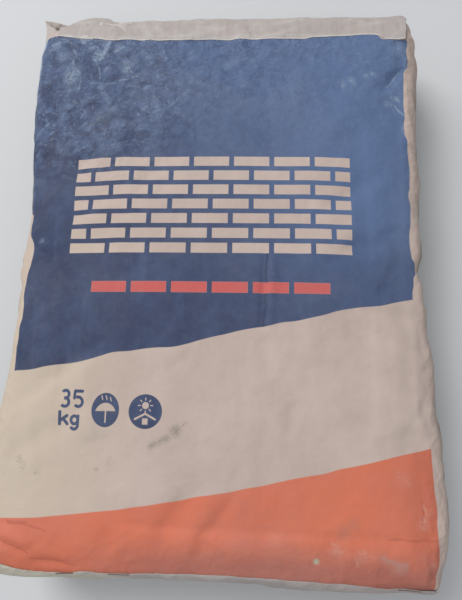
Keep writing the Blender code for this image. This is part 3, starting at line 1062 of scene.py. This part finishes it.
def marks_on(face, stains, wear, blue, orange, colours):
    """The smear, the scrape, painted shade in the creases, in the valve's mouth, at the valve's
    corner and by the head sheet's cut end, and the like, each as (mask, share, colour).
    """
    net = face.net
    smear = net.times(
        face.any_of(
            face.line((-0.056, -0.177), (-0.040, -0.169), 0.0020, 0.0040),
            face.blot((-0.0335, -0.163), 0.009),
            face.line((-0.034, -0.163), (-0.023, -0.155), 0.0006, 0.0014),
        ),
        net.rise(wear.strokes, 0.22, 0.60),
    )
    scrape = net.times(
        wear.uneven.line((0.150, -0.2690), (0.170, -0.2750), 0.0015, 0.0060),
        net.rise(stains.grains, 0.20, 0.45),
    )
    creases = face.gathered(wear.ragged.line(*crease, 0.0010) for crease in CREASES)
    # Painted shade: the cream corner by the valve darkened with the end sheets' colour
    corner = face.blot((-0.200, 0.283), 0.030)
    specks = face.gathered(wear.uneven.blot(middle, reach) for middle, reach in SPECKS)
    specks = net.times(specks, net.rise(wear.strokes, 0.40, 0.60))
    smudge = face.any_of(face.blot((0.120, -0.247), 0.012), face.blot((0.128, -0.240), 0.010))
    return (
        (smear, 0.75, colours.dirt), (scrape, 0.9, colours.scraped), (smudge, 0.22, colours.dirt),
        (specks, 0.45, colours.dirt),
        # Painted shade in the creases of the blue field and of the orange band
        (net.times(creases, blue), 0.6, colours.shade_blue),
        (net.times(creases, orange), 0.4, colours.deep_orange),
        # Painted shade on the cream corner by the valve
        (face.without(corner, blue), 0.9, colours.sheet),
        (face.blot((0.0949, -0.2718), 0.0042), 1.0, colours.spot),
        # Painted shade in the valve's mouth, dark down in the pressed-in pit
        (face.line((-0.1960, 0.2880), (-0.1890, 0.2760), 0.0024, 0.0014), 0.9, colours.gap_shadow),
        # Painted shadow in the gap beside the head sheet's cut end
        (face.line((0.2035, 0.2880), (0.1998, 0.2560), 0.0010, 0.0009), 0.75, colours.gap_shadow),
    )


def printed_paper(colours):
    """Kraft paper with a blue field, an orange band and brickwork, creased and dusty, with painted
    shade at its sides, creases and valve and a painted sheen on the field.
    """
    material, net, shader = new_material("printed sack paper")
    place = net.attribute("paper_place", "Vector")
    worn_fold = net.attribute("fold_wear", "Fac")
    crushed = net.rise(net.attribute("handling", "Fac"), 0.25, 0.95)
    face = Print(net, place)
    blue, orange, red, left = printed_fields(face)
    stains = Stains(net, place)

    cream = bare_paper(face, stains, colours)
    field = blue_ink(face, stains, crushed, colours)
    band = orange_ink(face, stains, colours)
    colour = net.blend(blue, cream, field)
    colour = net.tinted(colour, red, colours.red)
    colour = net.blend(orange, colour, band)

    inked = face.any_of(blue, orange, red)
    wear = Wear(face, stains, crushed, worn_fold, left)
    rubbed = net.blend(orange, (*colours.rubbed, 1), (*colours.rubbed_band, 1))
    colour = net.blend(net.calc("MULTIPLY", inked, wear.mask, clamp=True), colour, rubbed)
    for mask, share, tint in marks_on(face, stains, wear, blue, orange, colours):
        colour = net.tinted(colour, net.calc("MULTIPLY", mask, share, clamp=True), tint)

    # Painted shade and grime: the sides darker the lower they are, in streaks
    side = net.rise(face.z, 0.096, 0.070)
    side_shade_and_grime = net.calc("MULTIPLY_ADD", net.rise(stains.streaks, 0.62, 0.40), 0.38, 0.58)
    colour = net.tinted(colour, net.times(side, side_shade_and_grime), colours.grime_and_side_shade)
    dust = tool("cement dust", cement_dust)
    colour = net.group(dust, "Colour", place=place, colour=colour, amount=0.09)
    net.feed(shader.inputs["Base Color"], colour)

    crumple = tool("fine crumple", fine_crumple)
    small = net.group(crumple, "Height", place=place, size=0.016)
    tiny = net.group(crumple, "Height", place=place, size=0.0065)
    relief = net.times(small, net.calc("MULTIPLY_ADD", crushed, 0.15, 0.03))
    relief = net.calc("MULTIPLY_ADD", tiny, net.calc("MULTIPLY_ADD", crushed, 0.12, 0.02), relief)
    relief = net.calc("MULTIPLY_ADD", stains.streaks, 0.0003, relief)
    fibres = net.group(tool("paper grain", paper_grain), "Height", place=place)
    net.bumped(shader, net.calc("MULTIPLY_ADD", fibres, FIBRE_HEIGHT, relief))
    gloss = net.calc("MULTIPLY_ADD", inked, -0.14, 0.84)
    net.feed(shader.inputs["Roughness"], net.calc("MULTIPLY_ADD", stains.grains, 0.12, gloss))
    shader.inputs["Specular IOR Level"].default_value = 0.4
    return material


class SACK_OT_fill_paper(bpy.types.Operator):
    """Makes the filled paper sack in place of its plain solid"""

    bl_idname = "sack.fill_paper"
    bl_label = "Fill the sack"

    def execute(self, context):
        shape = context.scene.sack_shape
        sack = welded_copy("sack_body", "filled_sack")
        cells = sack.modifiers.new("paper cells", "REMESH")
        cells.mode = "VOXEL"
        cells.voxel_size = shape.paper_cell
        applied(sack, cells)
        even = sack.modifiers.new("even facets", "SMOOTH")
        even.factor = 0.5
        even.iterations = 3
        applied(sack, even)
        set_points(sack.data, filled(sack, shape))
        finer = sack.modifiers.new("finer paper", "SUBSURF")
        finer.levels = finer.render_levels = 1
        applied(sack, finer)
        set_points(sack.data, pressed(points_of(sack.data)))
        keep_attribute(sack.data, "paper_place", points_of(sack.data))
        places = creased(sack, shape)
        places[:, 2] = np.maximum(places[:, 2], 0)
        set_points(sack.data, places)
        made_active(sack)
        bpy.ops.object.shade_smooth()
        sack.data.materials.clear()
        sack.data.materials.append(printed_paper(context.scene.sack_print))
        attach(sack, "root")
        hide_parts("sack_body")
        return {"FINISHED"}


def cut_off(piece, place, outwards):
    """Cuts the piece at a plane and drops what lies on its outward side."""
    made_active(piece)
    bpy.ops.object.mode_set(mode="EDIT")
    bpy.ops.mesh.select_all(action="SELECT")
    bpy.ops.mesh.bisect(plane_co=place, plane_no=outwards, clear_outer=True)
    bpy.ops.object.mode_set(mode="OBJECT")


def rim_of(mesh):
    """The vertices on the open edges of a mesh."""
    sides = np.empty(len(mesh.loops), np.int32)
    mesh.loops.foreach_get("edge_index", sides)
    ends = np.empty(len(mesh.edges) * 2, np.int32)
    mesh.edges.foreach_get("vertices", ends)
    is_open = np.bincount(sides, minlength=len(mesh.edges)) == 1
    return np.unique(ends.reshape(-1, 2)[is_open])


def faces_dropped(piece, unwanted):
    """Deletes the faces that unwanted(places) picks by the places of their corners."""
    rest = attribute_of(piece.data, "paper_place")
    for face in piece.data.polygons:
        face.select = bool(unwanted(rest[list(face.vertices)]))
    made_active(piece)
    bpy.ops.object.mode_set(mode="EDIT")
    bpy.ops.mesh.select_mode(type="FACE")
    bpy.ops.mesh.delete(type="FACE")
    bpy.ops.mesh.select_mode(type="VERT")
    bpy.ops.object.mode_set(mode="OBJECT")


def thickened(piece, offset, thickness):
    """Gives a sheet of paper its thickness, with smooth faces and sharp edges."""
    wall = piece.modifiers.new("thickness", "SOLIDIFY")
    wall.thickness = thickness
    wall.offset = offset
    applied(piece, wall)
    bpy.ops.object.shade_smooth_by_angle(angle=math.radians(50))


def pasted_sheet(name, end, edge, sides, lift_at):
    """A sheet of paper pasted on one end, 1 the head and -1 the foot, from the print's edge on."""
    sack = bpy.data.objects["filled_sack"]
    sheet = bpy.data.objects.new(name, sack.data.copy())
    bpy.context.scene.collection.objects.link(sheet)
    near, far = zip(*edge)

    def past_edge(x, y):
        return (y - np.interp(x, near, far)) * end

    faces_dropped(sheet, lambda corners: past_edge(corners[:, 0], corners[:, 1]).max() < 0)
    points, rest = points_of(sheet.data), attribute_of(sheet.data, "paper_place")
    rim = rim_of(sheet.data)
    rim = rim[rest[rim, 2] > 0.08]
    shift = -past_edge(rest[rim, 0], rest[rim, 1]) * end
    points[rim, 1] += shift
    rest[rim, 1] += shift
    for at in rim:
        points[at] = sack.closest_point_on_mesh(Vector(points[at]))[1]
    keep_attribute(sheet.data, "paper_place", rest)
    set_points(sheet.data, points)
    cut_off(sheet, (sides[0], 0, 0), (-1, 0, 0))
    cut_off(sheet, (sides[1], 0.255 * end, 0), (1, -0.12 * end, 0))
    cut_off(sheet, (0, 0, SHEET_LOW), (0, 0, -1))
    points, normals = points_of(sheet.data), normals_of(sheet.data)
    set_points(sheet.data, points + lift_at(points)[:, None] * normals)
    thickened(sheet, 1, bpy.context.scene.sack_shape.sheet_thickness)
    sheet.data.materials.clear()
    return sheet


def mouth_gape(points):
    """How far the valve's mouth is open at each point, from 0 inside to 1 at its lip."""
    return ramp(-points[:, 0], -MOUTH_START, MOUTH_RUN) ** 2


def over_sleeve(points):
    """How far the head sheet stands off the sack: it steps up over the valve sleeve."""
    low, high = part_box("valve_sleeve")
    step = 0.008
    gape = mouth_gape(points)
    top = high.z - MOUTH_SINK * gape
    away = np.maximum.reduce((
        points[:, 0] - high.x, low.z - points[:, 2], points[:, 2] - top, np.zeros(len(points)),
    ))
    share = np.maximum(1 - away / step, 0)
    share = share * share * (3 - 2 * share)
    loose = ramp(points[:, 0], 0.180, 0.018) ** 2
    return SHEET_GAP + share * (0.0026 + 0.0026 * gape) + 0.0024 * loose


def snug(points):
    """How far the foot sheet stands off the sack: only at its two loose corners."""
    return SHEET_GAP + 0.0012 * ramp(np.abs(points[:, 0]), 0.160, 0.038) ** 2


def pasted_paper(colours):
    """The plain cream paper of the end sheets, worn pale with a painted highlight along its upper
    edge, and with painted shadows and highlights at the foot sheet's gaps.
    """
    material, net, shader = new_material("pasted sheet paper")
    place = net.attribute("paper_place", "Vector")
    worn_fold = net.attribute("fold_wear", "Fac")
    face = Print(net, place)
    paper = tool("paper grain", paper_grain)
    grains = net.noise(place, 300, 4, 0.65)
    streaks = net.noise(net.vector("MULTIPLY", place, (120, 20, 20)), 1, 3, 0.55)
    colour = net.group(paper, "Colour", place=place, colour=(*colours.sheet, 1), depth=0.2)
    colour = net.tinted(colour, net.times(net.rise(streaks, 0.60, 0.36), 0.22), colours.shade)
    aged = net.times(net.rise(face.x, -0.04, -0.16), face.below(face.y, -0.2))
    colour = net.tinted(colour, net.times(aged, 0.8), colours.old_sheet)
    # Worn paper and a painted highlight along the crease at the head sheet's upper edge
    edge = face.below(face.y, net.calc("ADD", face.traced(face.x, HEAD_EDGE), 0.0016), 0.0008)
    edge = net.times(net.times(edge, face.above(face.y, 0.2)), net.rise(grains, 0.2, 0.5))
    pinches = face.any_of(
        face.gathered(face.line(*pinch, 0.0006) for pinch in PINCHES),
        face.gathered(face.line(*lit, 0.0009, 0.0007) for lit in FOOT_LIT),
    )
    # Pale wear together with painted highlights along the head sheet's edge, its pinch folds and
    # the foot sheet's lit edge
    pale = face.any_of(
        net.times(edge, 0.7), net.times(worn_fold, 0.35), net.times(pinches, 0.75)
    )
    colour = net.tinted(colour, pale, colours.worn_and_lit_sheet)
    # Painted shadows in the gaps where the foot sheet stands off
    gaps = face.gathered(face.line(*gap, 0.0007, 0.0006) for gap in FOOT_GAPS)
    colour = net.tinted(colour, net.times(gaps, 0.8), colours.gap_shadow)
    dust = tool("cement dust", cement_dust)
    colour = net.group(dust, "Colour", place=place, colour=colour, amount=0.3)
    net.feed(shader.inputs["Base Color"], colour)
    small = net.group(tool("fine crumple", fine_crumple), "Height", place=place, size=0.011)
    relief = net.times(small, 0.12)
    relief = net.calc("MULTIPLY_ADD", streaks, 0.0010, relief)
    fibres = net.group(paper, "Height", place=place)
    net.bumped(shader, net.calc("MULTIPLY_ADD", fibres, FIBRE_HEIGHT, relief))
    shader.inputs["Roughness"].default_value = 0.88
    shader.inputs["Specular IOR Level"].default_value = 0.35
    return material


class SACK_OT_paste_ends(bpy.types.Operator):
    """Pastes the cover sheets over the two folded ends"""

    bl_idname = "sack.paste_ends"
    bl_label = "Paste the ends"

    def execute(self, context):
        paper = pasted_paper(context.scene.sack_print)
        head = pasted_sheet("head_patch_paper", 1, HEAD_EDGE, HEAD_SHEET_SIDES, over_sleeve)
        foot = pasted_sheet("foot_patch_paper", -1, FOOT_EDGE, FOOT_SHEET_SIDES, snug)
        for sheet, node in ((head, "head_end_patch"), (foot, "foot_end_patch")):
            sheet.data.materials.append(paper)
            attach(sheet, "root")
            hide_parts(node)
        return {"FINISHED"}


def sleeve_brown(colours):
    """The brown paper of the valve sleeve."""
    material, net, shader = new_material("sleeve paper")
    place = net.node("ShaderNodeTexCoord").outputs["Object"]
    paper = tool("paper grain", paper_grain)
    colour = net.group(paper, "Colour", place=place, colour=(*colours.sleeve, 1), depth=0.3)
    net.feed(shader.inputs["Base Color"], colour)
    net.bumped(shader, net.group(paper, "Height", place=place), FIBRE_HEIGHT)
    shader.inputs["Roughness"].default_value = 0.9
    return material


class SACK_OT_fit_valve(bpy.types.Operator):
    """Fits the flattened paper sleeve of the filling valve, its mouth a little open"""

    bl_idname = "sack.fit_valve"
    bl_label = "Fit the valve sleeve"

    def execute(self, context):
        low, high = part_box("valve_sleeve")
        shape = context.scene.sack_shape
        sack = bpy.data.objects["filled_sack"]
        half_height = (high.z - low.z) / 2
        deselected()
        bpy.ops.mesh.primitive_circle_add(
            vertices=shape.sleeve_sides, radius=half_height,
            location=(high.x, 0, (low.z + high.z) / 2), rotation=(0, math.pi / 2, 0),
        )
        sleeve = context.object
        sleeve.name = "valve_sleeve_paper"
        made_active(sleeve)
        bpy.ops.object.transform_apply(location=True, rotation=True, scale=True)
        bpy.ops.object.mode_set(mode="EDIT")
        bpy.ops.mesh.select_all(action="SELECT")
        run = (low.x - high.x) / shape.sleeve_steps
        for _ in range(shape.sleeve_steps):
            bpy.ops.mesh.extrude_region_move(TRANSFORM_OT_translate={"value": (run, 0, 0)})
        bpy.ops.object.mode_set(mode="OBJECT")
        points = points_of(sleeve.data)
        gape = mouth_gape(points)
        points[:, 2] -= MOUTH_SINK * gape * (points[:, 2] - low.z) / (high.z - low.z)
        half = 0.0010 + 0.0012 * gape
        shut = points[:, 1] / half_height * half
        for at, place in enumerate(points):
            hit = sack.ray_cast(Vector((place[0], 1.0, place[2])), Vector((0, -1, 0)))
            points[at, 1] = hit[1].y + SLEEVE_GAP + half[at] + shut[at]
        set_points(sleeve.data, points)
        made_active(sleeve)
        bpy.ops.object.mode_set(mode="EDIT")
        bpy.ops.mesh.select_all(action="SELECT")
        bpy.ops.mesh.normals_make_consistent(inside=False)
        bpy.ops.object.mode_set(mode="OBJECT")
        thickened(sleeve, -1, shape.sheet_thickness)
        sleeve.data.materials.append(sleeve_brown(context.scene.sack_print))
        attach(sleeve, "root")
        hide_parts("valve_sleeve")
        return {"FINISHED"}


def soft_light(name, place, size, power):
    """A square lamp that faces the middle of the floor."""
    lamp = bpy.data.lights.new(name, "AREA")
    lamp.size = size
    lamp.energy = power
    light = bpy.data.objects.new(name, lamp)
    light.location = place
    light.rotation_euler = (-Vector(place)).to_track_quat("-Z", "Y").to_euler()
    bpy.context.scene.collection.objects.link(light)


class SACK_OT_set_stage(bpy.types.Operator):
    """Sets the floor, the soft lights and the camera"""

    bl_idname = "sack.set_stage"
    bl_label = "Set the stage"

    def execute(self, context):
        settings = context.scene.sack_stage
        deselected()
        bpy.ops.mesh.primitive_plane_add(size=settings.floor_size)
        floor = context.object
        floor.name = "floor"
        material, _, shader = new_material("floor")
        shader.inputs["Base Color"].default_value = (*settings.floor_colour, 1)
        shader.inputs["Roughness"].default_value = 0.8
        floor.data.materials.append(material)

        soft_light("key light", place=(-1.8, 1.85, 2.85), size=2.0, power=110)
        soft_light("fill light", place=(0.2, -1.4, 1.8), size=2.0, power=9)

        world = bpy.data.worlds.new("studio")
        world.use_nodes = True
        world.node_tree.nodes["Background"].inputs["Color"].default_value = (0.94, 0.96, 1, 1)
        world.node_tree.nodes["Background"].inputs["Strength"].default_value = 0.40
        context.scene.world = world
        context.scene.view_settings.view_transform = "Standard"

        lens = bpy.data.cameras.new("camera")
        lens.lens = 28.8
        lens.sensor_width = 36
        camera = bpy.data.objects.new("camera", lens)
        context.scene.collection.objects.link(camera)
        eye = Vector((0.0355, -0.1308, 0.5690))
        aim = Vector((0.0154, -0.0393, 0.1145))
        picture_top = Vector((-0.0201, 1, 0))
        ahead = (aim - eye).normalized()
        right = ahead.cross(picture_top).normalized()
        up = right.cross(ahead)
        turn = Matrix((right, up, -ahead)).transposed()
        camera.matrix_world = Matrix.Translation(eye) @ turn.to_4x4()
        context.scene.camera = camera
        return {"FINISHED"}


class SACK_PT_pieces(bpy.types.Panel):
    """The pieces of the cement sack, in the order in which they are made"""

    bl_idname = "SACK_PT_pieces"
    bl_label = "Cement sack"
    bl_space_type = "VIEW_3D"
    bl_region_type = "UI"
    bl_category = "Cement sack"

    def draw(self, context):
        column = self.layout.column()
        for kind in (
            SACK_OT_set_stage, SACK_OT_fill_paper, SACK_OT_paste_ends, SACK_OT_fit_valve,
        ):
            column.operator(kind.bl_idname)
        for settings in (
            context.scene.sack_shape, context.scene.sack_print, context.scene.sack_stage,
        ):
            box = self.layout.box()
            for name in settings.__annotations__:
                box.prop(settings, name)


CLASSES = (
    SACK_PT_pieces, SackShape, SackPrint, StageSettings, SACK_OT_fill_paper, SACK_OT_paste_ends,
    SACK_OT_fit_valve, SACK_OT_set_stage,
)


def register():
    for kind in CLASSES:
        bpy.utils.register_class(kind)
    bpy.types.Scene.sack_shape = PointerProperty(type=SackShape)
    bpy.types.Scene.sack_print = PointerProperty(type=SackPrint)
    bpy.types.Scene.sack_stage = PointerProperty(type=StageSettings)


def unregister():
    del bpy.types.Scene.sack_stage
    del bpy.types.Scene.sack_print
    del bpy.types.Scene.sack_shape
    for kind in reversed(CLASSES):
        bpy.utils.unregister_class(kind)


def main():
    register()
    bpy.ops.sack.set_stage()
    bpy.ops.sack.fill_paper()
    bpy.ops.sack.paste_ends()
    bpy.ops.sack.fit_valve()


if __name__ == "__main__":
    main()
